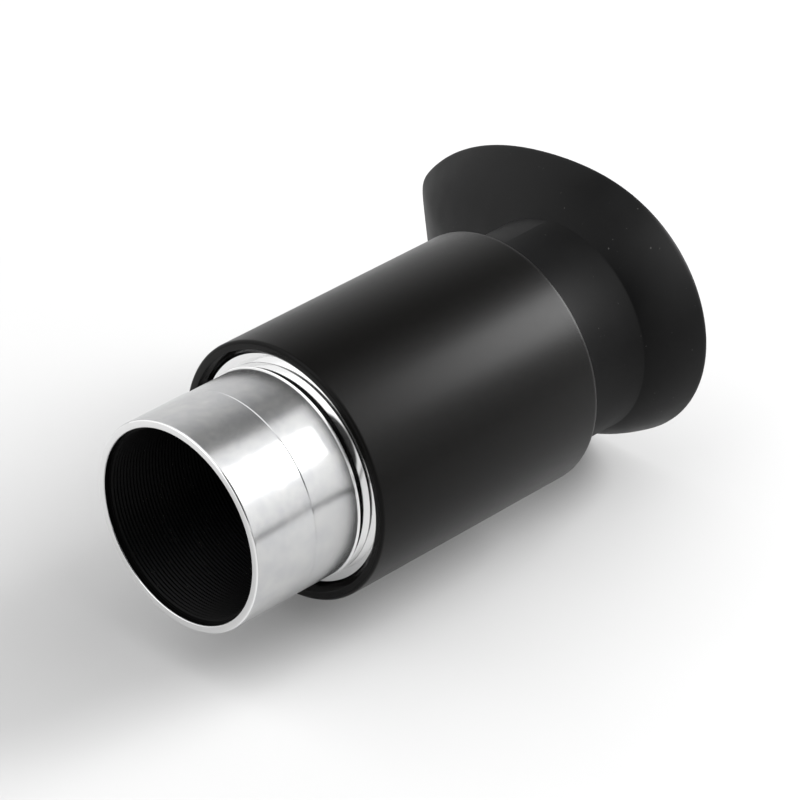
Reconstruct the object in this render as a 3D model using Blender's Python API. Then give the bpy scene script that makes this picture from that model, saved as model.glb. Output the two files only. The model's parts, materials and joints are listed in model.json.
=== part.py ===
"""Telescope eyepiece, 40 mm Ploessl type, for 1.25 inch focusers, lying on its side.

The optical axis runs along +X: the nosepiece is at the low end and the winged rubber eyecup
at the high end. +Z is up. The origin is under the middle of the object's box, at its lowest
point. Lengths along the axis, called stations, are counted from the nosepiece's front face.
"""

import math

import bmesh
import bpy
from mathutils import Matrix, Vector

MM = 0.001

# Clearances
GAP = 0.3 * MM                      # between pieces that touch or screw together on the real object

# Nosepiece: the bright tube that slides into the telescope
NOSE_RADIUS = 15.85 * MM
NOSE_REAR_RADIUS = 15.75 * MM       # behind the fine turned step
NOSE_STEP_AT = 10.8 * MM
NOSE_BORE_RADIUS = 14.1 * MM        # mean radius of the blackened inner thread
NOSE_MOUTH_RADIUS = 14.66 * MM      # plain recess before the thread
NOSE_MOUTH_DEPTH = 1.0 * MM
NOSE_CHAMFER = 0.25 * MM
COLLAR_AT = 19.2 * MM
COLLAR_RADIUS = 16.05 * MM
COLLAR_LENGTH = 1.95 * MM
SPIGOT_RADIUS = 15.4 * MM           # male thread behind the collar
SPIGOT_END = 27.2 * MM
STOP_SEAT_RADIUS = 14.6 * MM        # counterbore that holds the field stop
STOP_SEAT_AT = 21.5 * MM

# Field stop
STOP_HOLE_RADIUS = 13.3 * MM
STOP_LENGTH = 2.0 * MM

# Outer sleeve: the black body
SLEEVE_AT = 20.1 * MM
SLEEVE_END = 63.9 * MM
SLEEVE_RADIUS = 19.57 * MM
SLEEVE_MOUTH_RADIUS = 18.15 * MM    # where the front face's inner chamfer starts
SLEEVE_BORE_RADIUS = 17.6 * MM
SLEEVE_FRONT_ROUND = 0.5 * MM
SLEEVE_REAR_ROUND = 0.7 * MM
ROUND_STEPS = 3
SLEEVE_LIP_LENGTH = 1.3 * MM
SLEEVE_LIP_RADIUS = 14.6 * MM

# Adapter ring: the bright flange between nosepiece and body
ADAPTER_AT = 21.45 * MM
ADAPTER_END = 27.5 * MM
ADAPTER_CHAMFER = 0.15 * MM

# Lenses: two cemented pairs, crowns facing each other
LENS_RADIUS = 14.2 * MM
LENS_CURVE = 42.0 * MM              # radius of every curved surface
LENS_BEVEL = 0.25 * MM
FLINT_THICKNESS = 2.5 * MM          # at the centre
CROWN_THICKNESS = 8.5 * MM          # at the centre
CROWN_SPACING = 1.0 * MM            # between the two crowns' centres
FIELD_LENS_AT = 34.9 * MM           # flat front of the field-side pair
SPACER_HOLE_RADIUS = 13.0 * MM

# Retaining rings
RING_LENGTH = 2.0 * MM
EYE_RING_LENGTH = 1.2 * MM
RING_HOLE_RADIUS = 12.8 * MM
SLOT_WIDTH = 1.2 * MM
SLOT_DEPTH = 0.6 * MM

# Eye cap: the black tube that carries the eyecup
CAP_BORE_RADIUS = 12.6 * MM
CAP_FLANGE_RADIUS = 16.3 * MM
CAP_FLANGE_LENGTH = 1.2 * MM
CAP_TUBE_RADIUS = 14.65 * MM
CAP_END = 75.2 * MM
BEAD_RADIUS = 15.3 * MM
BEAD_LENGTH = 1.1 * MM
CAP_CHAMFER = 0.2 * MM

# Rubber eyecup
NECK_RADIUS = 16.62 * MM
NECK_END = 76.7 * MM                # where the flare begins
RIM_AT = 86.4 * MM                  # station of the plain side of the rim
RIM_RADIUS = 20.12 * MM
WING_DIRECTION = math.radians(99.5)  # from +Z towards +Y
WING_REACH = 38.0 * MM              # from the axis to the wing's straight outer edge
WING_RISE = 1.5 * MM                # how much further along the axis that edge is
WING_SWELL = 22.6 * MM              # how far the wing would stand out of the rim without that edge
WING_SPREAD = math.radians(47.4)    # how far round the rim the swelling goes
WING_SPREAD_POWER = 1.7
WING_CORNER = 60                    # a higher number makes the edge's two corners tighter
RUBBER_AT_NECK = 1.6 * MM           # thickness
RUBBER_AT_RIM = 1.1 * MM
FLARE_POINTS = 7

# Facets round the axis
OUTER_FACETS = 64
INNER_FACETS = 36
LENS_STEPS = 4                      # along each lens surface

AXIS_EMPTY = "optical_axis"
TURN_EMPTY = "eyecup_turn"


def rim_radius(angle):
    """A circle that swells into the wing, whose outer edge is cut straight."""
    off = abs((angle - WING_DIRECTION + math.pi) % math.tau - math.pi)
    swelling = RIM_RADIUS + WING_SWELL * math.exp(-((off / WING_SPREAD) ** WING_SPREAD_POWER))
    share = swelling * max(0.0, math.cos(off)) / WING_REACH
    return swelling * (1 + share**WING_CORNER) ** (-1 / WING_CORNER)


def rim_station(angle):
    return RIM_AT + WING_RISE * (rim_radius(angle) - RIM_RADIUS) / (WING_REACH - RIM_RADIUS)


def clear_scene():
    for old in list(bpy.data.objects):
        bpy.data.objects.remove(old, do_unlink=True)


def finish_material(name, colour, roughness, metallic, transmission=0.0):
    material = bpy.data.materials.new(name)
    material.use_nodes = True
    shader = material.node_tree.nodes["Principled BSDF"]
    shader.inputs["Base Color"].default_value = (*colour, 1.0)
    shader.inputs["Roughness"].default_value = roughness
    shader.inputs["Metallic"].default_value = metallic
    shader.inputs["Transmission Weight"].default_value = transmission
    return material


def add_empty(name, location, parent=None):
    empty = bpy.data.objects.new(name, None)
    empty.location = location
    empty.parent = parent
    bpy.context.scene.collection.objects.link(empty)
    return empty


def add_piece(name, builder, material, parent=AXIS_EMPTY):
    """A named object from a bmesh whose points are (station, y, z) about the axis."""
    bmesh.ops.recalc_face_normals(builder, faces=builder.faces)
    mesh = bpy.data.meshes.new(name)
    builder.to_mesh(mesh)
    builder.free()
    mesh.shade_smooth()
    mesh.set_sharp_from_angle(angle=math.radians(35))
    mesh.materials.append(material)
    piece = bpy.data.objects.new(name, mesh)
    piece.parent = bpy.data.objects[parent]
    bpy.context.scene.collection.objects.link(piece)
    return piece


def turned(profile, facets, solid=False):
    """Spins (station, radius) points about the axis. A solid profile starts and ends on the axis."""
    builder = bmesh.new()
    verts = [builder.verts.new((station, 0.0, radius)) for station, radius in profile]
    pairs = list(zip(verts, verts[1:]))
    if not solid:
        pairs.append((verts[-1], verts[0]))
    edges = [builder.edges.new(pair) for pair in pairs]
    bmesh.ops.spin(
        builder,
        geom=verts + edges,
        cent=(0, 0, 0),
        axis=(1, 0, 0),
        angle=math.tau,
        steps=facets,
        use_merge=True,
    )
    bmesh.ops.remove_doubles(builder, verts=builder.verts, dist=0.001 * MM)
    return builder


def chamfered(start, end, inner, outer, chamfer):
    """Cross-section of a plain ring with its two outer edges chamfered."""
    return [
        (start, inner),
        (start, outer - chamfer),
        (start + chamfer, outer),
        (end - chamfer, outer),
        (end, outer - chamfer),
        (end, inner),
    ]


def sag(radius):
    """How far a lens surface falls back at this distance from the axis."""
    return LENS_CURVE - math.sqrt(LENS_CURVE**2 - radius**2)


def curve(vertex, direction):
    """Points of a lens surface from the axis out to the bevel. It falls back along direction."""
    outer = LENS_RADIUS - LENS_BEVEL
    radii = [outer * k / LENS_STEPS for k in range(LENS_STEPS + 1)]
    return [(vertex + direction * sag(radius), radius) for radius in radii]


def flat(station):
    return [(station, 0.0), (station, LENS_RADIUS - LENS_BEVEL)]


def lens(front, back):
    """A lens between two surfaces, each a list of points from the axis outwards."""
    edge = [
        (front[-1][0] + LENS_BEVEL, LENS_RADIUS),
        (back[-1][0] - LENS_BEVEL, LENS_RADIUS),
    ]
    return turned(front + edge + back[::-1], INNER_FACETS, solid=True)


def nosepiece(material):
    collar_back = COLLAR_AT + COLLAR_LENGTH
    step = NOSE_RADIUS - NOSE_REAR_RADIUS
    profile = [
        (0, NOSE_MOUTH_RADIUS + NOSE_CHAMFER),
        (0, NOSE_RADIUS - NOSE_CHAMFER),
        (NOSE_CHAMFER, NOSE_RADIUS),
        (NOSE_STEP_AT, NOSE_RADIUS),
        (NOSE_STEP_AT + step, NOSE_REAR_RADIUS),
        (COLLAR_AT, NOSE_REAR_RADIUS),
        (COLLAR_AT + NOSE_CHAMFER, COLLAR_RADIUS),
        (collar_back, COLLAR_RADIUS),
        (collar_back, SPIGOT_RADIUS),
        (SPIGOT_END, SPIGOT_RADIUS),
        (SPIGOT_END, STOP_SEAT_RADIUS),
        (STOP_SEAT_AT, STOP_SEAT_RADIUS),
        (STOP_SEAT_AT, NOSE_BORE_RADIUS),
        (NOSE_MOUTH_DEPTH, NOSE_BORE_RADIUS),
        (NOSE_MOUTH_DEPTH, NOSE_MOUTH_RADIUS),
        (NOSE_CHAMFER, NOSE_MOUTH_RADIUS),
    ]
    add_piece("nosepiece", turned(profile, OUTER_FACETS), material)


def field_stop(material):
    start = STOP_SEAT_AT + GAP
    outer = STOP_SEAT_RADIUS - GAP
    profile = [
        (start, STOP_HOLE_RADIUS),
        (start, outer),
        (start + STOP_LENGTH, outer),
        (start + STOP_LENGTH, STOP_HOLE_RADIUS + 2 * GAP),
        (start + 2 * GAP, STOP_HOLE_RADIUS),
    ]
    add_piece("field_stop_ring", turned(profile, INNER_FACETS), material)


def adapter_ring(material):
    profile = chamfered(
        ADAPTER_AT, ADAPTER_END, SPIGOT_RADIUS + GAP, SLEEVE_BORE_RADIUS - GAP, ADAPTER_CHAMFER
    )
    add_piece("adapter_ring", turned(profile, OUTER_FACETS), material)


def outer_sleeve(material):
    profile = [(SLEEVE_AT, SLEEVE_MOUTH_RADIUS)]
    turns = [math.pi / 2 * k / ROUND_STEPS for k in range(ROUND_STEPS + 1)]
    for turn in turns:
        station = SLEEVE_AT + SLEEVE_FRONT_ROUND * (1 - math.cos(turn))
        radius = SLEEVE_RADIUS - SLEEVE_FRONT_ROUND * (1 - math.sin(turn))
        profile.append((station, radius))
    for turn in turns:
        station = SLEEVE_END - SLEEVE_REAR_ROUND * (1 - math.sin(turn))
        radius = SLEEVE_RADIUS - SLEEVE_REAR_ROUND * (1 - math.cos(turn))
        profile.append((station, radius))
    lip_front = SLEEVE_END - SLEEVE_LIP_LENGTH
    profile += [
        (SLEEVE_END, SLEEVE_LIP_RADIUS),
        (lip_front, SLEEVE_LIP_RADIUS),
        (lip_front, SLEEVE_BORE_RADIUS),
        (SLEEVE_AT + SLEEVE_MOUTH_RADIUS - SLEEVE_BORE_RADIUS, SLEEVE_BORE_RADIUS),
    ]
    add_piece("outer_sleeve", turned(profile, OUTER_FACETS), material)


def lens_cell(material):
    start = ADAPTER_END + GAP
    end = SLEEVE_END - SLEEVE_LIP_LENGTH - GAP
    profile = chamfered(
        start, end, LENS_RADIUS + GAP, SLEEVE_BORE_RADIUS - GAP, ADAPTER_CHAMFER
    )
    add_piece("lens_cell", turned(profile, INNER_FACETS), material)


def slotted_ring(name, start, length, slot_side, material):
    """A retaining ring with two spanner slots in the face that looks out of the eyepiece."""
    profile = [
        (start, RING_HOLE_RADIUS),
        (start, LENS_RADIUS),
        (start + length, LENS_RADIUS),
        (start + length, RING_HOLE_RADIUS),
    ]
    ring = add_piece(name, turned(profile, INNER_FACETS), material)
    face = start if slot_side < 0 else start + length
    cutter_builder = bmesh.new()
    bmesh.ops.create_cube(
        cutter_builder,
        size=1.0,
        matrix=Matrix.Translation((face, 0, 0))
        @ Matrix.Diagonal((2 * SLOT_DEPTH, SLOT_WIDTH, 3 * LENS_RADIUS, 1)),
    )
    cutter = add_piece(name + "_slots", cutter_builder, material)
    cutter.hide_render = True
    cutter.display_type = "WIRE"
    cut = ring.modifiers.new("spanner_slots", "BOOLEAN")
    cut.operation = "DIFFERENCE"
    cut.solver = "EXACT"
    cut.object = cutter


def optics(crown_material, flint_material, metal_material):
    """Both pairs of lenses, the spacer between them and the rings that hold them."""
    joint = FIELD_LENS_AT + FLINT_THICKNESS
    crown_front = joint + GAP
    crown_back = crown_front + CROWN_THICKNESS
    eye_crown_front = crown_back + CROWN_SPACING
    eye_crown_back = eye_crown_front + CROWN_THICKNESS
    eye_joint = eye_crown_back + GAP
    eye_lens_back = eye_joint + FLINT_THICKNESS

    field_flint = lens(flat(FIELD_LENS_AT), curve(joint, 1))
    add_piece("field_flint_lens", field_flint, flint_material)
    field_crown = lens(curve(crown_front, 1), curve(crown_back, -1))
    add_piece("field_crown_lens", field_crown, crown_material)
    eye_crown = lens(curve(eye_crown_front, 1), curve(eye_crown_back, -1))
    add_piece("eye_crown_lens", eye_crown, crown_material)
    eye_flint = lens(curve(eye_joint, -1), flat(eye_lens_back))
    add_piece("eye_flint_lens", eye_flint, flint_material)

    spacer_start = crown_back - sag(SPACER_HOLE_RADIUS) + GAP
    spacer_end = eye_crown_front + sag(SPACER_HOLE_RADIUS) - GAP
    spacer = [
        (spacer_start, SPACER_HOLE_RADIUS),
        (spacer_start, LENS_RADIUS),
        (spacer_end, LENS_RADIUS),
        (spacer_end, SPACER_HOLE_RADIUS),
    ]
    add_piece("doublet_spacer", turned(spacer, INNER_FACETS), metal_material)

    field_ring_start = FIELD_LENS_AT - GAP - RING_LENGTH
    slotted_ring("field_retaining_ring", field_ring_start, RING_LENGTH, -1, metal_material)
    slotted_ring("eye_retaining_ring", eye_lens_back + GAP, EYE_RING_LENGTH, 1, metal_material)
    return eye_lens_back + GAP + EYE_RING_LENGTH


def eye_cap(start, material):
    """The threaded spigot, the flange that clamps the sleeve, and the tube with its bead."""
    flange_front = SLEEVE_END + GAP
    flange_back = flange_front + CAP_FLANGE_LENGTH
    bead_front = CAP_END - BEAD_LENGTH
    profile = [
        (start, CAP_BORE_RADIUS),
        (start, LENS_RADIUS),
        (flange_front, LENS_RADIUS),
        (flange_front, CAP_FLANGE_RADIUS),
        (flange_back - CAP_CHAMFER, CAP_FLANGE_RADIUS),
        (flange_back, CAP_FLANGE_RADIUS - CAP_CHAMFER),
        (flange_back, CAP_TUBE_RADIUS),
        (bead_front - CAP_CHAMFER, CAP_TUBE_RADIUS),
        (bead_front, BEAD_RADIUS),
        (CAP_END - 2 * CAP_CHAMFER, BEAD_RADIUS),
        (CAP_END, BEAD_RADIUS - 2 * CAP_CHAMFER),
        (CAP_END, CAP_BORE_RADIUS + CAP_CHAMFER),
        (CAP_END - CAP_CHAMFER, CAP_BORE_RADIUS),
    ]
    add_piece("eye_cap", turned(profile, OUTER_FACETS), material)


def flare(angle):
    """Outer and inner points of the flare at this angle, from the neck to the rim."""
    start = Vector((NECK_END, NECK_RADIUS))
    end = Vector((rim_station(angle), rim_radius(angle)))
    run = end - start
    middle = start + Vector((0.35 * run.x, 0.65 * run.y))
    outer = []
    inner = []
    for k in range(FLARE_POINTS):
        u = k / (FLARE_POINTS - 1)
        point = start * (1 - u) ** 2 + middle * 2 * u * (1 - u) + end * u**2
        along = ((middle - start) * (1 - u) + (end - middle) * u).normalized()
        thickness = RUBBER_AT_NECK + (RUBBER_AT_RIM - RUBBER_AT_NECK) * u
        outer.append(point)
        inner.append(point + Vector((along.y, -along.x)) * thickness)
    return outer, inner


def eyecup_section(angle):
    """Closed cross-section of the rubber at this angle, as (station, radius) points."""
    neck_start = SLEEVE_END + CAP_FLANGE_LENGTH + 2 * GAP
    neck_bore = CAP_TUBE_RADIUS + GAP
    groove_bore = BEAD_RADIUS + GAP
    groove_start = CAP_END - BEAD_LENGTH - CAP_CHAMFER - GAP
    groove_end = CAP_END + GAP
    outer, inner = flare(angle)
    tip = outer[-1] + (outer[-1] - outer[-2]).normalized() * RUBBER_AT_RIM / 3
    tip += (inner[-1] - outer[-1]) / 2
    section = [Vector((neck_start, neck_bore)), Vector((neck_start, NECK_RADIUS))]
    section += outer + [tip] + inner[::-1]
    section += [
        Vector((groove_end + GAP, neck_bore)),
        Vector((groove_end, groove_bore)),
        Vector((groove_start, groove_bore)),
        Vector((groove_start - GAP, neck_bore)),
    ]
    return section


def eyecup_rings():
    """Points round the rubber, one closed cross-section for each angle."""
    rings = []
    for k in range(OUTER_FACETS):
        angle = math.tau * k / OUTER_FACETS
        across = Vector((0, math.sin(angle), math.cos(angle)))
        section = eyecup_section(angle)
        rings.append([across * radius + Vector((station, 0, 0)) for station, radius in section])
    return rings


def eyecup(rings, material):
    builder = bmesh.new()
    loops = [[builder.verts.new(point) for point in ring] for ring in rings]
    for loop, following in zip(loops, loops[1:] + loops[:1]):
        for k in range(len(loop)):
            builder.faces.new((loop[k - 1], loop[k], following[k], following[k - 1]))
    add_piece("eyecup", builder, material, TURN_EMPTY)


def axis_place(rings):
    """Where station 0 of the axis lies, so that the object's box stands centred on the origin."""
    points = [point for ring in rings for point in ring]
    length = max(point.x for point in points)
    sides = [point.y for point in points]
    return Vector((-length / 2, -(min(sides) + max(sides)) / 2, -min(point.z for point in points)))


def main():
    clear_scene()
    rings = eyecup_rings()
    axis = add_empty(AXIS_EMPTY, axis_place(rings))
    add_empty(TURN_EMPTY, (0, 0, 0), axis)
    bright = finish_material("turned_aluminium", (0.80, 0.80, 0.80), 0.22, 1.0)
    anodised = finish_material("black_anodised", (0.030, 0.029, 0.028), 0.38, 0.6)
    blackened = finish_material("blackened_metal", (0.012, 0.012, 0.012), 0.55, 0.3)
    rubber = finish_material("black_rubber", (0.018, 0.018, 0.018), 0.62, 0.0)
    crown_glass = finish_material("crown_glass", (0.95, 0.98, 0.97), 0.02, 0.0, 1.0)
    flint_glass = finish_material("flint_glass", (0.97, 0.97, 0.93), 0.02, 0.0, 1.0)
    nosepiece(bright)
    field_stop(blackened)
    adapter_ring(bright)
    outer_sleeve(anodised)
    lens_cell(blackened)
    ring_end = optics(crown_glass, flint_glass, blackened)
    eye_cap(ring_end + GAP, blackened)
    eyecup(rings, rubber)


main()
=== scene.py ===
"""Looks of the telescope eyepiece: fine turned metal, anodised body, coated lenses, winged rubber eyecup."""
import json
import math

import bmesh
import bpy
from mathutils import Matrix, Vector


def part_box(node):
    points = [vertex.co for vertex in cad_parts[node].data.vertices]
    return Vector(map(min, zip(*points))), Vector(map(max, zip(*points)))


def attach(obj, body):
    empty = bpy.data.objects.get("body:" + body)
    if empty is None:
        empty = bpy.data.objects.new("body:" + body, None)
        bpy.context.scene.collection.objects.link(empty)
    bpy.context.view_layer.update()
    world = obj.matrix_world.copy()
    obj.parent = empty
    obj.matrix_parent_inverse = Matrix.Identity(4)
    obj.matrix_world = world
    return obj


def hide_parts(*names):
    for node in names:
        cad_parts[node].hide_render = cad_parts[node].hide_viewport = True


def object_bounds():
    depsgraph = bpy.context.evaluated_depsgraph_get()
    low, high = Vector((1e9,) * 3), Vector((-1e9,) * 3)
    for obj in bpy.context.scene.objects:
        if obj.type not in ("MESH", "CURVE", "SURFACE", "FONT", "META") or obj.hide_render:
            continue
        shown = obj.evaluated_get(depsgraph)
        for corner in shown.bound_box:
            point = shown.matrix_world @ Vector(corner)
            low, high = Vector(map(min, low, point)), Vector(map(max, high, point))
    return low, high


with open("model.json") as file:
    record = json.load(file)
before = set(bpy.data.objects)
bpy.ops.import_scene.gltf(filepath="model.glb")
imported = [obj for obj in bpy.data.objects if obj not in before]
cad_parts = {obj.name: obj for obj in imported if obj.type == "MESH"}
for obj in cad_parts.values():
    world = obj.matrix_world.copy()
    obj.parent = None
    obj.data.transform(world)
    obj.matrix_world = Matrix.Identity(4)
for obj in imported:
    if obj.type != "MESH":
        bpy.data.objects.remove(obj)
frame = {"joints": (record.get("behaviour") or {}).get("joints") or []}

CAD_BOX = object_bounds()
MM = 0.001
FIXED_BODY = "optics_body"
TURNING_BODY = "eyecup"

# The optical axis. Stations are lengths along it from the nosepiece's front face.
AXIS = Vector(frame["joints"][0]["pos_m"])
FRONT = Vector((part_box("nosepiece")[0].x, AXIS.y, AXIS.z))

FACETS = 256         # round the axis
CORNER_STEPS = 4     # along a rounded corner
LARGEST_CUT = 0.45   # share of a stretch that the rounding at one end may take


def span(node):
    """First and last station of a CAD node."""
    low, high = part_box(node)
    return low.x - FRONT.x, high.x - FRONT.x


def reach(node):
    """Outer radius of a CAD node that is round about the axis."""
    low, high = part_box(node)
    return (high.z - low.z) / 2


# ---------------------------------------------------------------- meshes


def rounded(corners):
    """Closed outline through corners (station, radius, rounding, slot), with each corner rounded.

    Returns its points and, for each point, the slot of the stretch that follows it."""
    points = []
    slots = []
    for k, (station, radius, rounding, slot) in enumerate(corners):
        here = Vector((station, radius))
        before = Vector(corners[k - 1][:2]) - here
        after = Vector(corners[(k + 1) % len(corners)][:2]) - here
        if not rounding:
            points.append(here)
            slots.append(slot)
            continue
        cut = min(rounding, LARGEST_CUT * before.length, LARGEST_CUT * after.length)
        start = here + before.normalized() * cut
        end = here + after.normalized() * cut
        for step in range(CORNER_STEPS + 1):
            u = step / CORNER_STEPS
            points.append(start * (1 - u) ** 2 + here * 2 * u * (1 - u) + end * u**2)
            slots.append(slot)
    return points, slots


def new_piece(name, builder, materials, body, node, sharp=30):
    """A piece from a bmesh whose points are (station, y, z) about the axis. It stands for a CAD node."""
    bmesh.ops.recalc_face_normals(builder, faces=builder.faces)
    mesh = bpy.data.meshes.new(name)
    builder.to_mesh(mesh)
    builder.free()
    mesh.shade_smooth()
    mesh.set_sharp_from_angle(angle=math.radians(sharp))
    for material in materials:
        mesh.materials.append(material)
    piece = bpy.data.objects.new(name, mesh)
    piece.location = FRONT
    bpy.context.scene.collection.objects.link(piece)
    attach(piece, body)
    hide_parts(node)
    return piece


def turned(name, corners, materials, node, facets=FACETS):
    """A closed ring turned from an outline."""
    points, slots = rounded(corners)
    builder = bmesh.new()
    loops = []
    for k in range(facets):
        angle = math.tau * k / facets
        y, z = math.sin(angle), math.cos(angle)
        loops.append([builder.verts.new((s, r * y, r * z)) for s, r in points])
    for loop, following in zip(loops, loops[1:] + loops[:1]):
        for k, slot in enumerate(slots):
            after = (k + 1) % len(points)
            face = builder.faces.new((loop[k], loop[after], following[after], following[k]))
            face.material_index = slot
    return new_piece(name, builder, materials, FIXED_BODY, node)


CREST_FROM = 0.42    # where a thread's flat crest starts and ends, in turns
CREST_TO = 0.58


def thread(start, end, pitch, root, crest, slot):
    """Corners of a row of thread turns between two stations. root and crest are radii."""
    turns = round(abs(end - start) / pitch)
    step = (end - start) / turns
    corners = []
    for k in range(turns):
        at = start + k * step
        corners += [
            (at, root, 0, slot),
            (at + CREST_FROM * step, crest, 0, slot),
            (at + CREST_TO * step, crest, 0, slot),
        ]
    return corners


# ---------------------------------------------------------------- materials

SLANT = 1.7          # weight of z against y in the place round the axis


def mapped(tree, value, low, high, start=0.0, end=1.0, smooth=False):
    """Maps low..high to start..end, and holds the ends."""
    made = tree.nodes.new("ShaderNodeMapRange")
    if smooth:
        made.interpolation_type = "SMOOTHSTEP"
    tree.links.new(value, made.inputs["Value"])
    for key, number in (("From Min", low), ("From Max", high), ("To Min", start), ("To Max", end)):
        made.inputs[key].default_value = number
    return made.outputs["Result"]


def mixed(tree, share, first, second):
    """Mixes two colours. Each is an output, or a tuple of red, green and blue."""
    made = tree.nodes.new("ShaderNodeMix")
    made.data_type = "RGBA"
    tree.links.new(share, made.inputs["Factor"])
    for key, colour in ((6, first), (7, second)):
        if isinstance(colour, tuple):
            made.inputs[key].default_value = (*colour, 1.0)
        else:
            tree.links.new(colour, made.inputs[key])
    return made.outputs[2]


class Shader:
    """A new Principled material, with short ways to add the nodes that drive it."""

    def __init__(self, name, colour, roughness, metallic=0.0, **inputs):
        self.material = bpy.data.materials.new(name)
        self.material.use_nodes = True
        self.tree = self.material.node_tree
        self.principled = self.tree.nodes["Principled BSDF"]
        self.set("Base Color", (*colour, 1.0))
        self.set("Roughness", roughness)
        self.set("Metallic", metallic)
        for key, value in inputs.items():
            self.set(key.replace("_", " "), value)
        self.place = self.node("ShaderNodeTexCoord").outputs["Object"]

    def set(self, key, value):
        self.principled.inputs[key].default_value = value

    def node(self, kind, **settings):
        made = self.tree.nodes.new(kind)
        for key, value in settings.items():
            setattr(made, key, value)
        return made

    def link(self, output, target):
        self.tree.links.new(output, target)

    def math(self, operation, first, second=0.0):
        made = self.node("ShaderNodeMath", operation=operation)
        for socket, value in zip(made.inputs, (first, second)):
            if isinstance(value, (int, float)):
                socket.default_value = value
            else:
                self.link(value, socket)
        return made.outputs[0]

    def noise(self, scale, detail=2.0, roughness=0.5, vector=None):
        """Noise whose lumps are about 1 / scale metres across."""
        made = self.node("ShaderNodeTexNoise")
        self.link(vector or self.place, made.inputs["Vector"])
        made.inputs["Scale"].default_value = scale
        made.inputs["Detail"].default_value = detail
        made.inputs["Roughness"].default_value = roughness
        return made.outputs["Fac"]

    def ramp(self, value, low, high, start, end):
        return mapped(self.tree, value, low, high, start, end)

    def mix_colour(self, share, first, second):
        return mixed(self.tree, share, first, second)

    def bump(self, height, distance):
        made = self.node("ShaderNodeBump")
        made.inputs["Distance"].default_value = distance
        self.link(height, made.inputs["Height"])
        self.link(made.outputs["Normal"], self.principled.inputs["Normal"])

    def turned_place(self, across, around):
        """Coordinates whose lumps are short along the axis and outwards, and long round it."""
        parts = self.node("ShaderNodeSeparateXYZ")
        self.link(self.place, parts.inputs[0])
        y, z = parts.outputs["Y"], parts.outputs["Z"]
        square = self.math("ADD", self.math("MULTIPLY", y, y), self.math("MULTIPLY", z, z))
        radius = self.math("SQRT", square)
        joined = self.node("ShaderNodeCombineXYZ")
        self.link(self.math("MULTIPLY", parts.outputs["X"], across), joined.inputs[0])
        self.link(self.math("MULTIPLY", radius, across), joined.inputs[1])
        slanted = self.math("ADD", y, self.math("MULTIPLY", z, SLANT))
        self.link(self.math("MULTIPLY", slanted, around), joined.inputs[2])
        return joined.outputs[0]

    def radial_tangent(self):
        made = self.node("ShaderNodeTangent", direction_type="RADIAL", axis="X")
        self.link(made.outputs[0], self.principled.inputs["Tangent"])


def bright_aluminium():
    """Fine turned bright aluminium. Its turning marks spread reflections along the axis, not round it."""
    s = Shader("turned_bright_aluminium", (0.52, 0.52, 0.52), 0.215, 1.0,
               Anisotropic=0.95, Anisotropic_Rotation=0.25)
    s.radial_tangent()
    rings = s.noise(1.0, 3.0, 0.6, s.turned_place(9000, 60))
    blotches = s.noise(420, 3.0)
    grain = s.noise(5200, 2.0, 0.6)
    rough = s.math("ADD", s.ramp(blotches, 0.3, 0.7, 0.205, 0.23), s.ramp(grain, 0.3, 0.7, -0.012, 0.015))
    s.link(rough, s.principled.inputs["Roughness"])
    share = s.math("ADD", s.ramp(blotches, 0.35, 0.7, 0, 0.7), s.ramp(grain, 0.3, 0.7, 0, 0.3))
    s.link(s.mix_colour(share, (0.465, 0.47, 0.48), (0.555, 0.555, 0.55)), s.principled.inputs["Base Color"])
    s.bump(s.math("ADD", rings, s.math("MULTIPLY", grain, 0.4)), 0.000001)
    return s.material


def smooth_turned(name, colour, roughness, spread, relief, **inputs):
    """A smooth turned face, with turning marks of height relief that vary its roughness by spread."""
    s = Shader(name, colour, roughness, **inputs)
    rings = s.noise(1.0, 3.0, 0.6, s.turned_place(7000, 40))
    s.link(s.ramp(rings, 0.3, 0.7, roughness - spread, roughness + spread), s.principled.inputs["Roughness"])
    s.bump(rings, relief)
    return s.material


def black_anodised():
    """Satin black anodising over fine bead blasting, slightly warm."""
    s = Shader("black_anodised", (0.001, 0.0009, 0.0007), 0.33, IOR=1.21)
    grain = s.noise(7500, 2.0, 0.65)
    coarse = s.noise(900, 3.0, 0.55)
    s.link(s.math("ADD", s.ramp(grain, 0.3, 0.7, 0.30, 0.36), s.ramp(coarse, 0.3, 0.7, -0.012, 0.012)),
           s.principled.inputs["Roughness"])
    s.link(s.mix_colour(s.ramp(grain, 0.35, 0.75, 0, 1), (0.0004, 0.0003, 0.0002), (0.0017, 0.0014, 0.0011)),
           s.principled.inputs["Base Color"])
    s.bump(grain, 0.00001)
    return s.material


def blackened_metal():
    """Matt black that swallows stray light, on threads and inside tubes."""
    s = Shader("blackened_metal", (0.001, 0.001, 0.001), 0.5, IOR=1.19)
    grain = s.noise(6000, 2.0)
    s.link(s.ramp(grain, 0.3, 0.7, 0.42, 0.6), s.principled.inputs["Roughness"])
    s.link(s.mix_colour(grain, (0.0004, 0.0004, 0.0005), (0.0012, 0.0012, 0.0012)),
           s.principled.inputs["Base Color"])
    s.bump(grain, 0.00001)
    return s.material


def black_rubber():
    """Matt moulded rubber with a fine skin, and a few specks of dust."""
    s = Shader("black_rubber", (0.002, 0.002, 0.0021), 0.46, IOR=1.21)
    skin = s.noise(4200, 3.0, 0.6)
    cloud = s.noise(160, 3.0)
    specks = s.ramp(s.noise(1900, 1.0), 0.77, 0.83, 0.0, 1.0)
    base = s.mix_colour(s.ramp(cloud, 0.3, 0.7, 0, 1), (0.0013, 0.0013, 0.0014), (0.0026, 0.0026, 0.0027))
    s.link(s.mix_colour(specks, base, (0.05, 0.049, 0.047)), s.principled.inputs["Base Color"])
    s.link(s.ramp(cloud, 0.3, 0.7, 0.43, 0.51), s.principled.inputs["Roughness"])
    s.bump(skin, 0.000005)
    return s.material


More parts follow.
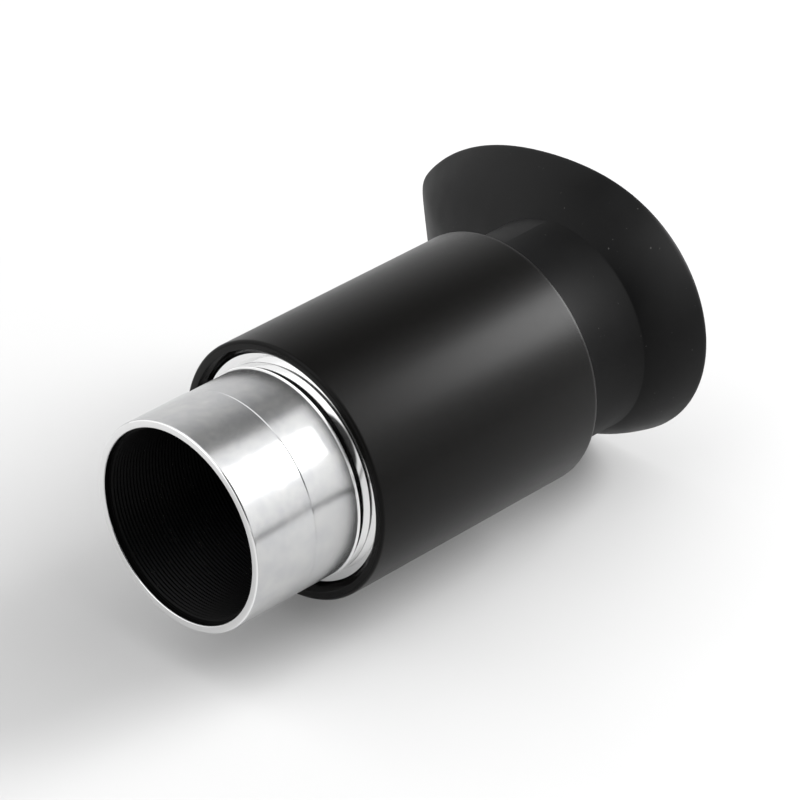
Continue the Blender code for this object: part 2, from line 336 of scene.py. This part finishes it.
def coated_glass(name, ior, film):
    """Optical glass with a thin coating that tints its reflections."""
    s = Shader(name, (0.97, 0.98, 0.97), 0.0, Transmission_Weight=1.0)
    s.set("IOR", ior)
    s.set("Thin Film Thickness", film)
    s.set("Thin Film IOR", 1.38)
    haze = s.noise(300, 2.0)
    s.link(s.ramp(haze, 0.4, 0.8, 0.0, 0.02), s.principled.inputs["Roughness"])
    return s.material


def lens_edge_black():
    """Ink on the ground edge of a lens."""
    s = Shader("lens_edge_black", (0.008, 0.008, 0.008), 0.7)
    grain = s.noise(5000, 2.0)
    s.link(s.ramp(grain, 0.3, 0.7, 0.6, 0.8), s.principled.inputs["Roughness"])
    s.bump(grain, 0.00001)
    return s.material


def floor_white():
    s = Shader("floor_white", (0.57, 0.57, 0.57), 0.6)
    s.link(s.ramp(s.noise(30, 2.0), 0.3, 0.7, 0.55, 0.65), s.principled.inputs["Roughness"])
    return s.material


BRIGHT = bright_aluminium()
# The nosepiece's collar and front rim, then the adapter ring's flange: the barrel's metal, smoother and in a
# paler colour than the barrel's. The extra paleness is painted light, brightening their reflections of the
# dim room ahead.
POLISHED_PAINTED_LIGHT = smooth_turned("polished_aluminium_painted_light", (0.82, 0.82, 0.82), 0.09, 0.02, 0.0000005, metallic=1.0)
FACED_PAINTED_LIGHT = smooth_turned("faced_aluminium_painted_light", (0.88, 0.88, 0.88), 0.1, 0.02, 0.0000005, metallic=1.0)
ANODISED = black_anodised()
# The sleeve's turned ends, under the same anodising and smoother than its blasted outside
ANODISED_FACE = smooth_turned("anodised_face", (0.002, 0.0018, 0.0015), 0.15, 0.03, 0.000002, IOR=1.25)
BLACKENED = blackened_metal()
RUBBER = black_rubber()
CROWN = coated_glass("crown_glass", 1.517, 130.0)
FLINT = coated_glass("flint_glass", 1.62, 145.0)
EDGE = lens_edge_black()

# ---------------------------------------------------------------- turned pieces

THREAD_PITCH = 0.6 * MM
EDGE_BREAK = 0.12 * MM
GAP = 0.3 * MM

NOSE_RADIUS = 15.85 * MM
NOSE_REAR_RADIUS = 15.77 * MM
NOSE_LINE_AT = 11.0 * MM
NOSE_LINE_DEPTH = 0.09 * MM
NOSE_LINE_WIDTH = 0.28 * MM
NOSE_MOUTH_RADIUS = 14.66 * MM
NOSE_MOUTH_DEPTH = 1.0 * MM
NOSE_MOUTH_BREAK = 0.1 * MM
NOSE_CHAMFER = 0.22 * MM
NOSE_THREAD_ROOT = 14.30 * MM
NOSE_THREAD_CREST = 14.12 * MM
COLLAR_AT = 19.15 * MM
COLLAR_END = 21.43 * MM
COLLAR_END_RADIUS = 15.82 * MM
COLLAR_LEAN = 0.04 * MM            # how far the collar's front face leans back
COLLAR_CHAMFER_END = 0.16 * MM     # from the collar's front to the end of its chamfer
COLLAR_CHAMFER_FOOT = 0.14 * MM    # how far inside the collar's reach the chamfer starts
COLLAR_CHAMFER_TOP = 0.01 * MM     # and ends
SPIGOT_RADIUS = 15.4 * MM
STOP_SEAT_AT = 21.5 * MM
STOP_SEAT_RADIUS = 14.6 * MM


def nosepiece():
    # mirror: the collar and front rim, whose paler colour is painted light
    shiny, black, mirror_painted_light = 0, 1, 2
    end = span("nosepiece")[1]
    collar = reach("nosepiece")
    corners = [
        (0, NOSE_MOUTH_RADIUS + NOSE_MOUTH_BREAK, 0.04 * MM, mirror_painted_light),
        (0, NOSE_RADIUS - NOSE_CHAMFER, 0.10 * MM, mirror_painted_light),
        (NOSE_CHAMFER, NOSE_RADIUS, 0.12 * MM, shiny),
        (NOSE_LINE_AT, NOSE_RADIUS, 0.02 * MM, shiny),
        (NOSE_LINE_AT + NOSE_LINE_WIDTH / 2, NOSE_REAR_RADIUS - NOSE_LINE_DEPTH, 0, shiny),
        (NOSE_LINE_AT + NOSE_LINE_WIDTH, NOSE_REAR_RADIUS, 0.02 * MM, shiny),
        (COLLAR_AT, NOSE_REAR_RADIUS, 0.08 * MM, mirror_painted_light),
        (COLLAR_AT + COLLAR_LEAN, collar - COLLAR_CHAMFER_FOOT, 0.03 * MM, mirror_painted_light),
        (COLLAR_AT + COLLAR_CHAMFER_END, collar - COLLAR_CHAMFER_TOP, 0.03 * MM, mirror_painted_light),
        (COLLAR_END, COLLAR_END_RADIUS, 0.02 * MM, shiny),
        (COLLAR_END, SPIGOT_RADIUS, 0, shiny),
        (end, SPIGOT_RADIUS, 0.1 * MM, shiny),
        (end, STOP_SEAT_RADIUS, 0.05 * MM, black),
        (STOP_SEAT_AT, STOP_SEAT_RADIUS, 0, black),
        (STOP_SEAT_AT, NOSE_THREAD_CREST, 0, black),
    ]
    corners += thread(STOP_SEAT_AT, NOSE_MOUTH_DEPTH, THREAD_PITCH, NOSE_THREAD_ROOT, NOSE_THREAD_CREST,
                      black)
    corners += [
        (NOSE_MOUTH_DEPTH, NOSE_THREAD_ROOT, 0, black),
        (NOSE_MOUTH_DEPTH, NOSE_MOUTH_RADIUS, 0.03 * MM, black),
        (EDGE_BREAK, NOSE_MOUTH_RADIUS, 0.04 * MM, shiny),
    ]
    turned("nosepiece_detail", corners, [BRIGHT, BLACKENED, POLISHED_PAINTED_LIGHT], "nosepiece")


def plain_ring(node, material, hole, facets=FACETS):
    """A ring that fills its CAD node's span and reach, with its edges broken."""
    start, end = span(node)
    outer = reach(node)
    corners = [
        (start, hole, EDGE_BREAK, 0),
        (start, outer, EDGE_BREAK, 0),
        (end, outer, EDGE_BREAK, 0),
        (end, hole, EDGE_BREAK, 0),
    ]
    return turned(node + "_detail", corners, [material], node, facets)


ADAPTER_CHAMFER = 0.15 * MM


def adapter_ring():
    start, end = span("adapter_ring")
    outer = reach("adapter_ring")
    hole = SPIGOT_RADIUS + GAP
    corners = [
        (start, hole, 0.08 * MM, 0),
        (start, outer - ADAPTER_CHAMFER, 0.05 * MM, 0),
        (start + ADAPTER_CHAMFER, outer, 0.05 * MM, 0),
        (end, outer, 0.1 * MM, 0),
        (end, hole, 0.1 * MM, 0),
    ]
    # The flange's paler aluminium colour is painted light, brightening its reflections.
    turned("adapter_ring_detail", corners, [FACED_PAINTED_LIGHT], "adapter_ring")


SLEEVE_MOUTH_RADIUS = 18.25 * MM
SLEEVE_BORE_RADIUS = 17.6 * MM
SLEEVE_LIP_RADIUS = 14.6 * MM
SLEEVE_LIP_LENGTH = 1.3 * MM
SLEEVE_THREAD_LENGTH = 6.0 * MM
SLEEVE_THREAD_DEPTH = 0.2 * MM


def outer_sleeve():
    start, end = span("outer_sleeve")
    outer = reach("outer_sleeve")
    satin, face, black = 0, 1, 2
    lip_front = end - SLEEVE_LIP_LENGTH
    chamfer_end = start + SLEEVE_MOUTH_RADIUS - SLEEVE_BORE_RADIUS
    thread_end = chamfer_end + SLEEVE_THREAD_LENGTH
    thread_root = SLEEVE_BORE_RADIUS + SLEEVE_THREAD_DEPTH
    corners = [
        (start, SLEEVE_MOUTH_RADIUS, 0.06 * MM, face),
        (start, outer, 0.55 * MM, satin),
        (end, outer, 0.9 * MM, satin),
        (end, SLEEVE_LIP_RADIUS, 0.1 * MM, face),
        (lip_front, SLEEVE_LIP_RADIUS, 0, black),
        (lip_front, SLEEVE_BORE_RADIUS, 0, black),
        (thread_end, SLEEVE_BORE_RADIUS, 0, black),
    ]
    corners += thread(thread_end, chamfer_end, THREAD_PITCH, thread_root, SLEEVE_BORE_RADIUS, face)
    corners += [(chamfer_end, SLEEVE_BORE_RADIUS, 0.04 * MM, face)]
    turned("outer_sleeve_detail", corners, [ANODISED, ANODISED_FACE, BLACKENED], "outer_sleeve")


FIELD_STOP_RADIUS = 13.3 * MM
FIELD_STOP_LAND = 0.3 * MM         # length of its straight hole
FIELD_STOP_BEVEL = 0.6 * MM        # how far the hole widens behind that


def field_stop():
    start, end = span("field_stop_ring")
    outer = reach("field_stop_ring")
    corners = [
        (start, FIELD_STOP_RADIUS, 0.04 * MM, 0),
        (start, outer, 0.1 * MM, 0),
        (end, outer, 0.1 * MM, 0),
        (end, FIELD_STOP_RADIUS + FIELD_STOP_BEVEL, 0.1 * MM, 0),
        (start + FIELD_STOP_LAND, FIELD_STOP_RADIUS, 0.04 * MM, 0),
    ]
    turned("field_stop_ring_detail", corners, [BLACKENED], "field_stop_ring")


CAP_BORE_RADIUS = 12.6 * MM
CAP_TUBE_RADIUS = 14.65 * MM
CAP_FLANGE_AT = 64.2 * MM
CAP_FLANGE_END = 65.4 * MM
CAP_FRONT_BEVEL = 0.3 * MM
CAP_BEAD_RADIUS = 15.3 * MM
CAP_BEAD_LENGTH = 1.1 * MM
CAP_BEAD_FLANK = 0.2 * MM          # length of the slope in front of the bead
CAP_BEAD_BEVEL = 0.4 * MM          # on the bead's rear corner
CAP_MOUTH_BEVEL = 0.5 * MM
CAP_THREAD_DEPTH = 0.25 * MM
CAP_THREAD_FROM_FRONT = 0.4 * MM   # from the cap's ends to the thread's
CAP_THREAD_FROM_REAR = 0.6 * MM
LENS_RADIUS = 14.2 * MM


def eye_cap():
    start, end = span("eye_cap")
    flange = reach("eye_cap")
    bead_front = end - CAP_BEAD_LENGTH
    thread_root = CAP_BORE_RADIUS + CAP_THREAD_DEPTH
    corners = [
        (start, CAP_BORE_RADIUS + CAP_FRONT_BEVEL, 0.1 * MM, 0),
        (start, LENS_RADIUS, 0.1 * MM, 0),
        (CAP_FLANGE_AT, LENS_RADIUS, 0, 0),
        (CAP_FLANGE_AT, flange, 0.1 * MM, 0),
        (CAP_FLANGE_END, flange, 0.2 * MM, 0),
        (CAP_FLANGE_END, CAP_TUBE_RADIUS, 0.05 * MM, 0),
        (bead_front - CAP_BEAD_FLANK, CAP_TUBE_RADIUS, 0.05 * MM, 0),
        (bead_front, CAP_BEAD_RADIUS, 0.1 * MM, 0),
        (end - CAP_BEAD_BEVEL, CAP_BEAD_RADIUS, 0.2 * MM, 0),
        (end, CAP_BEAD_RADIUS - CAP_BEAD_BEVEL, 0.15 * MM, 0),
        (end, CAP_BORE_RADIUS + CAP_MOUTH_BEVEL, 0.15 * MM, 0),
        (end - CAP_MOUTH_BEVEL, thread_root, 0.05 * MM, 0),
    ]
    corners += thread(end - CAP_THREAD_FROM_REAR, start + CAP_THREAD_FROM_FRONT, THREAD_PITCH, thread_root,
                      CAP_BORE_RADIUS, 0)
    turned("eye_cap_detail", corners, [BLACKENED], "eye_cap")


# ---------------------------------------------------------------- lenses

LENS_CURVE = 42.0 * MM
LENS_BEVEL = 0.25 * MM
LENS_RINGS = 24


def sag(radius):
    return LENS_CURVE - math.sqrt(LENS_CURVE**2 - radius**2)


def lens(node, material, front, back):
    """A lens between two surfaces. front and back say how the surface falls back: 1, -1 or 0 for flat."""
    start, end = span(node)
    outer = reach(node)
    clear = outer - LENS_BEVEL
    front_vertex = start + max(0, -front) * sag(clear)
    back_vertex = end - max(0, back) * sag(clear)
    radii = [clear * k / LENS_RINGS for k in range(1, LENS_RINGS + 1)]
    front_points = [(front_vertex + front * sag(r), r) for r in radii]
    back_points = [(back_vertex + back * sag(r), r) for r in radii]
    edge = [(front_points[-1][0] + LENS_BEVEL, outer), (back_points[-1][0] - LENS_BEVEL, outer)]
    outline = front_points + edge + back_points[::-1]
    builder = bmesh.new()
    loops = []
    facets = FACETS // 2
    for k in range(facets):
        angle = math.tau * k / facets
        loops.append([builder.verts.new((s, r * math.sin(angle), r * math.cos(angle))) for s, r in outline])
    front_middle = builder.verts.new((front_vertex, 0, 0))
    back_middle = builder.verts.new((back_vertex, 0, 0))
    for loop, following in zip(loops, loops[1:] + loops[:1]):
        builder.faces.new((front_middle, following[0], loop[0]))
        builder.faces.new((back_middle, loop[-1], following[-1]))
        for k in range(len(loop) - 1):
            face = builder.faces.new((loop[k], following[k], following[k + 1], loop[k + 1]))
            on_edge = LENS_RINGS - 1 <= k <= LENS_RINGS + 1   # the two bevels and the wall between them
            face.material_index = int(on_edge)
    new_piece(node + "_detail", builder, [material, EDGE], FIXED_BODY, node)


RETAINER_BORE_RADIUS = 12.8 * MM
SPANNER_SLOT_WIDTH = 1.2 * MM
SPANNER_SLOT_DEPTH = 0.6 * MM
SPANNER_SLOT_REACH = 60 * MM       # the cutter's length, more than any ring is wide


def slotted_ring(node, slot_side):
    """A retaining ring with two spanner slots cut in its outward face."""
    ring = plain_ring(node, BLACKENED, RETAINER_BORE_RADIUS, facets=FACETS // 2)
    start, end = span(node)
    face = start if slot_side < 0 else end
    builder = bmesh.new()
    size = Matrix.Diagonal((2 * SPANNER_SLOT_DEPTH, SPANNER_SLOT_WIDTH, SPANNER_SLOT_REACH, 1))
    bmesh.ops.create_cube(builder, size=1.0, matrix=Matrix.Translation((face, 0, 0)) @ size)
    mesh = bpy.data.meshes.new(node + "_slots")
    builder.to_mesh(mesh)
    builder.free()
    cutter = bpy.data.objects.new(node + "_slots", mesh)
    cutter.location = FRONT
    bpy.context.scene.collection.objects.link(cutter)
    cut = ring.modifiers.new("slots", "BOOLEAN")
    cut.operation = "DIFFERENCE"
    cut.solver = "EXACT"
    cut.object = cutter
    bpy.context.view_layer.update()
    evaluated = ring.evaluated_get(bpy.context.evaluated_depsgraph_get())
    cut_mesh = bpy.data.meshes.new_from_object(evaluated)
    ring.modifiers.clear()
    ring.data = cut_mesh
    bpy.data.objects.remove(cutter)


# ---------------------------------------------------------------- rubber eyecup

NECK_RADIUS = 16.62 * MM
NECK_END = 76.7 * MM
RIM_AT = 86.24 * MM
RIM_RADIUS = 20.0 * MM
WING_DIRECTION = math.radians(99.5)   # from +Z towards +Y
WING_REACH = 37.75 * MM               # from the axis to the wing's straight outer edge
WING_RISE = 1.5 * MM                  # how much further along the axis that edge is
WING_SWELL = 22.6 * MM                # how far the wing would stand out of the rim without that edge
WING_SPREAD = math.radians(47.4)      # how far round the rim the swelling goes
WING_SPREAD_POWER = 1.7
WING_CORNER = 60                      # a higher number makes the edge's two corners tighter
NECK_EDGE_ROUND = 0.3 * MM
NECK_EDGE_STEPS = 4
NECK_BORE_BREAK = 0.15 * MM
GROOVE_RADIUS = 15.6 * MM             # the groove that holds the eye cap's bead
GROOVE_START = 73.6 * MM
GROOVE_END = 75.5 * MM
FLARE_BEND_ALONG = 0.35               # where the flare's curve is drawn to, in shares of its run
FLARE_BEND_OUT = 0.65
RUBBER_AT_NECK = 1.6 * MM
RUBBER_AT_RIM = 1.1 * MM
FLARE_STEPS = 28
LIP_STEPS = 8
CUP_FACETS = 288


def rim_radius(angle):
    """A circle that swells into the wing, whose outer edge is cut straight."""
    off = abs((angle - WING_DIRECTION + math.pi) % math.tau - math.pi)
    swelling = RIM_RADIUS + WING_SWELL * math.exp(-((off / WING_SPREAD) ** WING_SPREAD_POWER))
    share = swelling * max(0.0, math.cos(off)) / WING_REACH
    return swelling * (1 + share**WING_CORNER) ** (-1 / WING_CORNER)


def flare(angle):
    """Outer and inner points of the flare at this angle, from the neck to the rim."""
    radius = rim_radius(angle)
    rise = WING_RISE * (radius - RIM_RADIUS) / (WING_REACH - RIM_RADIUS)
    start = Vector((NECK_END, NECK_RADIUS))
    end = Vector((RIM_AT + rise, radius))
    run = end - start
    middle = start + Vector((FLARE_BEND_ALONG * run.x, FLARE_BEND_OUT * run.y))
    outer = []
    inner = []
    for k in range(FLARE_STEPS + 1):
        u = k / FLARE_STEPS
        point = start * (1 - u) ** 2 + middle * 2 * u * (1 - u) + end * u**2
        along = ((middle - start) * (1 - u) + (end - middle) * u).normalized()
        thickness = RUBBER_AT_NECK + (RUBBER_AT_RIM - RUBBER_AT_NECK) * u
        outer.append(point)
        inner.append(point + Vector((along.y, -along.x)) * thickness)
    return outer, inner


def lip(outer, inner):
    """Half round that closes the rim."""
    middle = (outer[-1] + inner[-1]) / 2
    half = (outer[-1] - inner[-1]) / 2
    ahead = (outer[-1] - outer[-2]).normalized() * half.length
    points = []
    for k in range(1, LIP_STEPS):
        turn = math.pi * k / LIP_STEPS
        points.append(middle + half * math.cos(turn) + ahead * math.sin(turn))
    return points


def eyecup_section(angle):
    """Closed outline of the rubber at this angle round the axis."""
    neck_start = span("eyecup")[0]
    neck_bore = CAP_TUBE_RADIUS + GAP
    outer, inner = flare(angle)
    section = [
        Vector((neck_start, neck_bore + NECK_BORE_BREAK)),
        Vector((neck_start, NECK_RADIUS - NECK_EDGE_ROUND)),
    ]
    for k in range(1, NECK_EDGE_STEPS + 1):
        turn = math.pi / 2 * k / NECK_EDGE_STEPS
        along = NECK_EDGE_ROUND * (1 - math.cos(turn))
        inward = NECK_EDGE_ROUND * (1 - math.sin(turn))
        section.append(Vector((neck_start + along, NECK_RADIUS - inward)))
    section += outer + lip(outer, inner) + inner[::-1]
    section += [
        Vector((GROOVE_END + GAP, neck_bore)),
        Vector((GROOVE_END, GROOVE_RADIUS)),
        Vector((GROOVE_START, GROOVE_RADIUS)),
        Vector((GROOVE_START - GAP, neck_bore)),
        Vector((neck_start + NECK_BORE_BREAK, neck_bore)),
    ]
    return section


def eyecup():
    builder = bmesh.new()
    loops = []
    for k in range(CUP_FACETS):
        angle = math.tau * k / CUP_FACETS
        y, z = math.sin(angle), math.cos(angle)
        loops.append([builder.verts.new((s, r * y, r * z)) for s, r in eyecup_section(angle)])
    for loop, following in zip(loops, loops[1:] + loops[:1]):
        for k in range(len(loop)):
            builder.faces.new((loop[k - 1], loop[k], following[k], following[k - 1]))
    new_piece("eyecup_detail", builder, [RUBBER], TURNING_BODY, "eyecup", sharp=40)


# ---------------------------------------------------------------- stage, light, camera

VIEW_AZIMUTH = math.radians(-45.60)
VIEW_ELEVATION = math.radians(31.21)
NOSE_FROM_CAMERA = Vector((-30.4 * MM, -17.4 * MM, -627.7 * MM))   # nose's front centre, in camera space
SENSOR_WIDTH = 36.0       # camera settings in millimetres
FOCAL_LENGTH = 207.36
FLOOR_RADIUS = 1.6
FLOOR_FACETS = 96


def camera():
    data = bpy.data.cameras.new("camera")
    data.sensor_width = SENSOR_WIDTH
    data.lens = FOCAL_LENGTH
    data.clip_start = 0.01
    data.clip_end = 50
    rotation = Matrix.Rotation(VIEW_AZIMUTH, 3, "Z") @ Matrix.Rotation(math.pi / 2 - VIEW_ELEVATION, 3, "X")
    holder = bpy.data.objects.new("camera", data)
    holder.rotation_mode = "QUATERNION"
    holder.rotation_quaternion = rotation.to_quaternion()
    holder.location = FRONT - rotation @ NOSE_FROM_CAMERA
    bpy.context.scene.collection.objects.link(holder)
    bpy.context.scene.camera = holder


def floor():
    builder = bmesh.new()
    bmesh.ops.create_circle(builder, cap_ends=True, segments=FLOOR_FACETS, radius=FLOOR_RADIUS)
    mesh = bpy.data.meshes.new("floor")
    builder.to_mesh(mesh)
    builder.free()
    mesh.materials.append(floor_white())
    piece = bpy.data.objects.new("floor", mesh)
    piece.location.z = CAD_BOX[0].z
    bpy.context.scene.collection.objects.link(piece)


def round_axis(angle_deg, along):
    """Direction at this angle from +Z towards +Y round the optical axis, leaning along +X."""
    turn = math.radians(angle_deg)
    across = math.sqrt(1 - along**2)
    return Vector((along, across * math.sin(turn), across * math.cos(turn)))


def softbox(name, direction, distance, length, width, radiance):
    """A soft panel that faces the part, its length along the optical axis."""
    data = bpy.data.lights.new(name, "AREA")
    data.shape = "RECTANGLE"
    data.size = length
    data.size_y = width
    data.energy = radiance * math.pi * length * width
    along = (Vector((1, 0, 0)) - direction * direction.x).normalized()
    light = bpy.data.objects.new(name, data)
    light.location = AXIS + direction * distance
    light.rotation_mode = "QUATERNION"
    facing = Matrix((along, direction.cross(along), direction)).transposed()
    light.rotation_quaternion = facing.to_quaternion()
    light.visible_camera = False
    bpy.context.scene.collection.objects.link(light)


KEY_ANGLE = -38          # degrees from +Z towards +Y round the optical axis
KEY_LEAN = 0.829         # how much of its direction is along +X
KEY_DISTANCE = 0.9
KEY_LENGTH = 0.62
KEY_WIDTH = 0.42
KEY_RADIANCE = 16.0

# Brightness of the room by angle from +Z towards +Y round the optical axis, beyond the eyecup and ahead of
# the nosepiece. The floor hides what is below it.
ROOM_BEYOND = [
    (-180, 1.00), (-94, 1.00), (-90, 1.25), (-78, 1.50), (-60, 1.80), (-20, 1.80), (-8, 1.56), (-3, 1.25),
    (2, 0.47), (12, 0.30), (24, 0.33), (40, 0.64), (60, 0.97), (100, 1.04), (180, 1.00),
]
ROOM_AHEAD = [
    (-180, 0.70), (-90, 0.90), (-20, 1.50), (0, 1.80), (40, 1.80), (65, 1.25), (110, 1.10), (180, 0.70),
]
BEYOND_FROM = -0.1       # the direction's share along +X at which the room starts to change from ahead to
BEYOND_TO = 0.2          # beyond, and at which it has changed
PHOTOGRAPHER_INNER = math.radians(24)   # half the angle of the dark patch round the camera, to the start of
PHOTOGRAPHER_OUTER = math.radians(28)   # its soft edge and to the end of it
PHOTOGRAPHER_BRIGHTNESS = 0.03


def ramp_by_angle(tree, share, stops):
    """Grey levels by angle. share is 0 at -180 degrees and 1 at 180."""
    made = tree.nodes.new("ShaderNodeValToRGB")
    elements = made.color_ramp.elements
    while len(elements) < len(stops):
        elements.new(0.5)
    for element, (angle, value) in zip(elements, stops):
        element.position = (angle + 180) / 360
        element.color = (value, value, value, 1)
    tree.links.new(share, made.inputs["Fac"])
    return made.outputs["Color"]


def studio():
    """A pale room with a dark patch where the camera is, and one soft panel above the part."""
    world = bpy.data.worlds.new("studio")
    world.use_nodes = True
    tree = world.node_tree
    tree.nodes.clear()
    direction = tree.nodes.new("ShaderNodeTexCoord").outputs["Generated"]
    parts = tree.nodes.new("ShaderNodeSeparateXYZ")
    tree.links.new(direction, parts.inputs[0])
    turn = tree.nodes.new("ShaderNodeMath")
    turn.operation = "ARCTAN2"
    tree.links.new(parts.outputs["Y"], turn.inputs[0])
    tree.links.new(parts.outputs["Z"], turn.inputs[1])
    share = mapped(tree, turn.outputs[0], -math.pi, math.pi)
    ahead = ramp_by_angle(tree, share, ROOM_AHEAD)
    beyond = ramp_by_angle(tree, share, ROOM_BEYOND)
    room = mixed(tree, mapped(tree, parts.outputs["X"], BEYOND_FROM, BEYOND_TO, smooth=True), ahead, beyond)
    towards_camera = tree.nodes.new("ShaderNodeVectorMath")
    towards_camera.operation = "DOT_PRODUCT"
    tree.links.new(direction, towards_camera.inputs[0])
    towards_camera.inputs[1].default_value = (
        math.cos(VIEW_ELEVATION) * math.sin(VIEW_AZIMUTH),
        -math.cos(VIEW_ELEVATION) * math.cos(VIEW_AZIMUTH),
        math.sin(VIEW_ELEVATION),
    )
    patch = mapped(tree, towards_camera.outputs["Value"], math.cos(PHOTOGRAPHER_OUTER),
                   math.cos(PHOTOGRAPHER_INNER), smooth=True)
    lit = tree.nodes.new("ShaderNodeBackground")
    tree.links.new(mixed(tree, patch, room, (PHOTOGRAPHER_BRIGHTNESS,) * 3), lit.inputs["Color"])
    backdrop = tree.nodes.new("ShaderNodeBackground")
    backdrop.inputs["Color"].default_value = (1.0, 1.0, 1.0, 1)
    seen = tree.nodes.new("ShaderNodeLightPath")
    chosen = tree.nodes.new("ShaderNodeMixShader")
    tree.links.new(seen.outputs["Is Camera Ray"], chosen.inputs[0])
    tree.links.new(lit.outputs[0], chosen.inputs[1])
    tree.links.new(backdrop.outputs[0], chosen.inputs[2])
    output = tree.nodes.new("ShaderNodeOutputWorld")
    tree.links.new(chosen.outputs[0], output.inputs[0])
    bpy.context.scene.world = world
    key_direction = round_axis(KEY_ANGLE, KEY_LEAN)
    softbox("key_softbox", key_direction, KEY_DISTANCE, KEY_LENGTH, KEY_WIDTH, KEY_RADIANCE)


STRIP_FROM_AXIS = 0.213
STRIP_HEIGHT = 0.0195
STRIP_LENGTH = 2.0
STRIP_THICKNESS = 0.002


def dark_strip():
    """A low grey edge on the floor along one side. Only reflections see it, as a fine line on the metal."""
    builder = bmesh.new()
    size = Matrix.Diagonal((STRIP_LENGTH, STRIP_THICKNESS, STRIP_HEIGHT, 1))
    bmesh.ops.create_cube(builder, size=1.0, matrix=size)
    mesh = bpy.data.meshes.new("dark_strip")
    builder.to_mesh(mesh)
    builder.free()
    mesh.materials.append(Shader("grey_card", (0.28, 0.28, 0.28), 0.8).material)
    piece = bpy.data.objects.new("dark_strip", mesh)
    piece.location = (AXIS.x, AXIS.y - STRIP_FROM_AXIS, CAD_BOX[0].z + STRIP_HEIGHT / 2)
    for kind in ("camera", "diffuse", "shadow", "transmission"):
        setattr(piece, "visible_" + kind, False)
    bpy.context.scene.collection.objects.link(piece)


# ---------------------------------------------------------------- everything

CELL_BORE_RADIUS = 14.5 * MM
SPACER_BORE_RADIUS = 13.0 * MM

nosepiece()
field_stop()
adapter_ring()
outer_sleeve()
plain_ring("lens_cell", BLACKENED, CELL_BORE_RADIUS)
plain_ring("doublet_spacer", BLACKENED, SPACER_BORE_RADIUS, facets=FACETS // 2)
slotted_ring("field_retaining_ring", -1)
slotted_ring("eye_retaining_ring", 1)
lens("field_flint_lens", FLINT, 0, 1)
lens("field_crown_lens", CROWN, 1, -1)
lens("eye_crown_lens", CROWN, 1, -1)
lens("eye_flint_lens", FLINT, -1, 0)
eye_cap()
eyecup()

floor()
dark_strip()
studio()
camera()
bpy.context.scene.view_settings.view_transform = "Standard"
